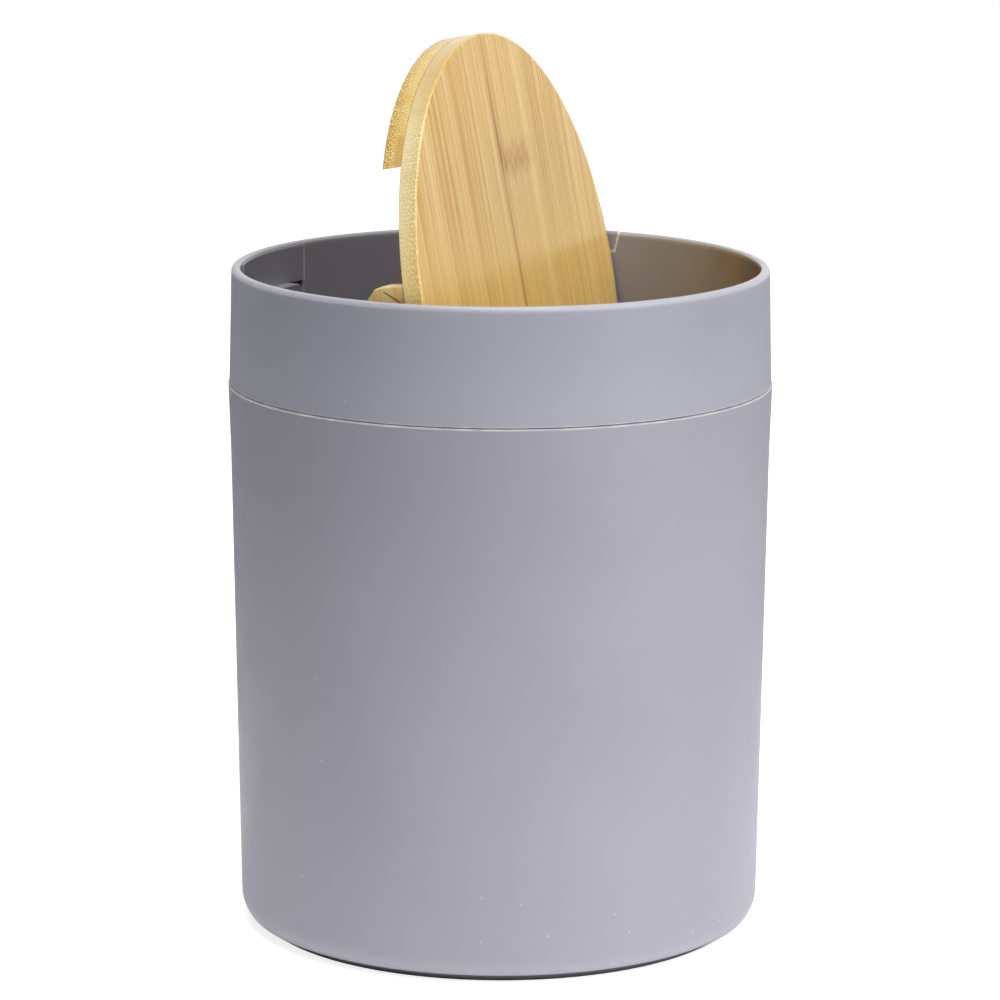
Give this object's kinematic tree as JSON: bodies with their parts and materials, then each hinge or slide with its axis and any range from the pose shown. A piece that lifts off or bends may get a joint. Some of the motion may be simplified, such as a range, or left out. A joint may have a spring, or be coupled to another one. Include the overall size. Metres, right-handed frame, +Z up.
{
  "type": "swing-lid trash can",
  "caption": "Small round trash can: tapered plastic bucket, lift-off plastic collar and a counterweighted bamboo lid that swings open about a horizontal axis.",
  "frame": {"origin": "on the floor, under the middle of the bucket", "axes": "+Z up, X along the lid's swing axis, -Y towards the front, where the lid is pushed down"},
  "size_m": [0.1958, 0.1958, 0.3223],
  "materials": {
    "grey_plastic": "satin moulded",
    "bamboo": "thinly lacquered",
    "steel": "plain"
  },
  "bodies": {
    "bucket": {"bucket": "grey_plastic"},
    "collar": {"collar": "grey_plastic", "pivot_keeper_left": "grey_plastic", "pivot_keeper_right": "grey_plastic"},
    "lid": {"lid_disc": "bamboo", "counterweight": "bamboo", "pivot_block_left": "bamboo", "pivot_block_right": "bamboo", "pivot_pin_left": "steel", "pivot_pin_right": "steel", "block_screws": "steel", "counterweight_screws": "steel"}
  },
  "joints": [
    {"name": "collar_lift", "type": "slide", "parent": "bucket", "child": "collar", "axis": [0, 0, 1], "range_m": [0, 0.06]},
    {"name": "lid_swing", "type": "hinge", "parent": "collar", "child": "lid", "pos_m": [0, 0, 0.23025], "axis": [1, 0, 0], "range_deg": [-79.1, 0]}
  ]
}
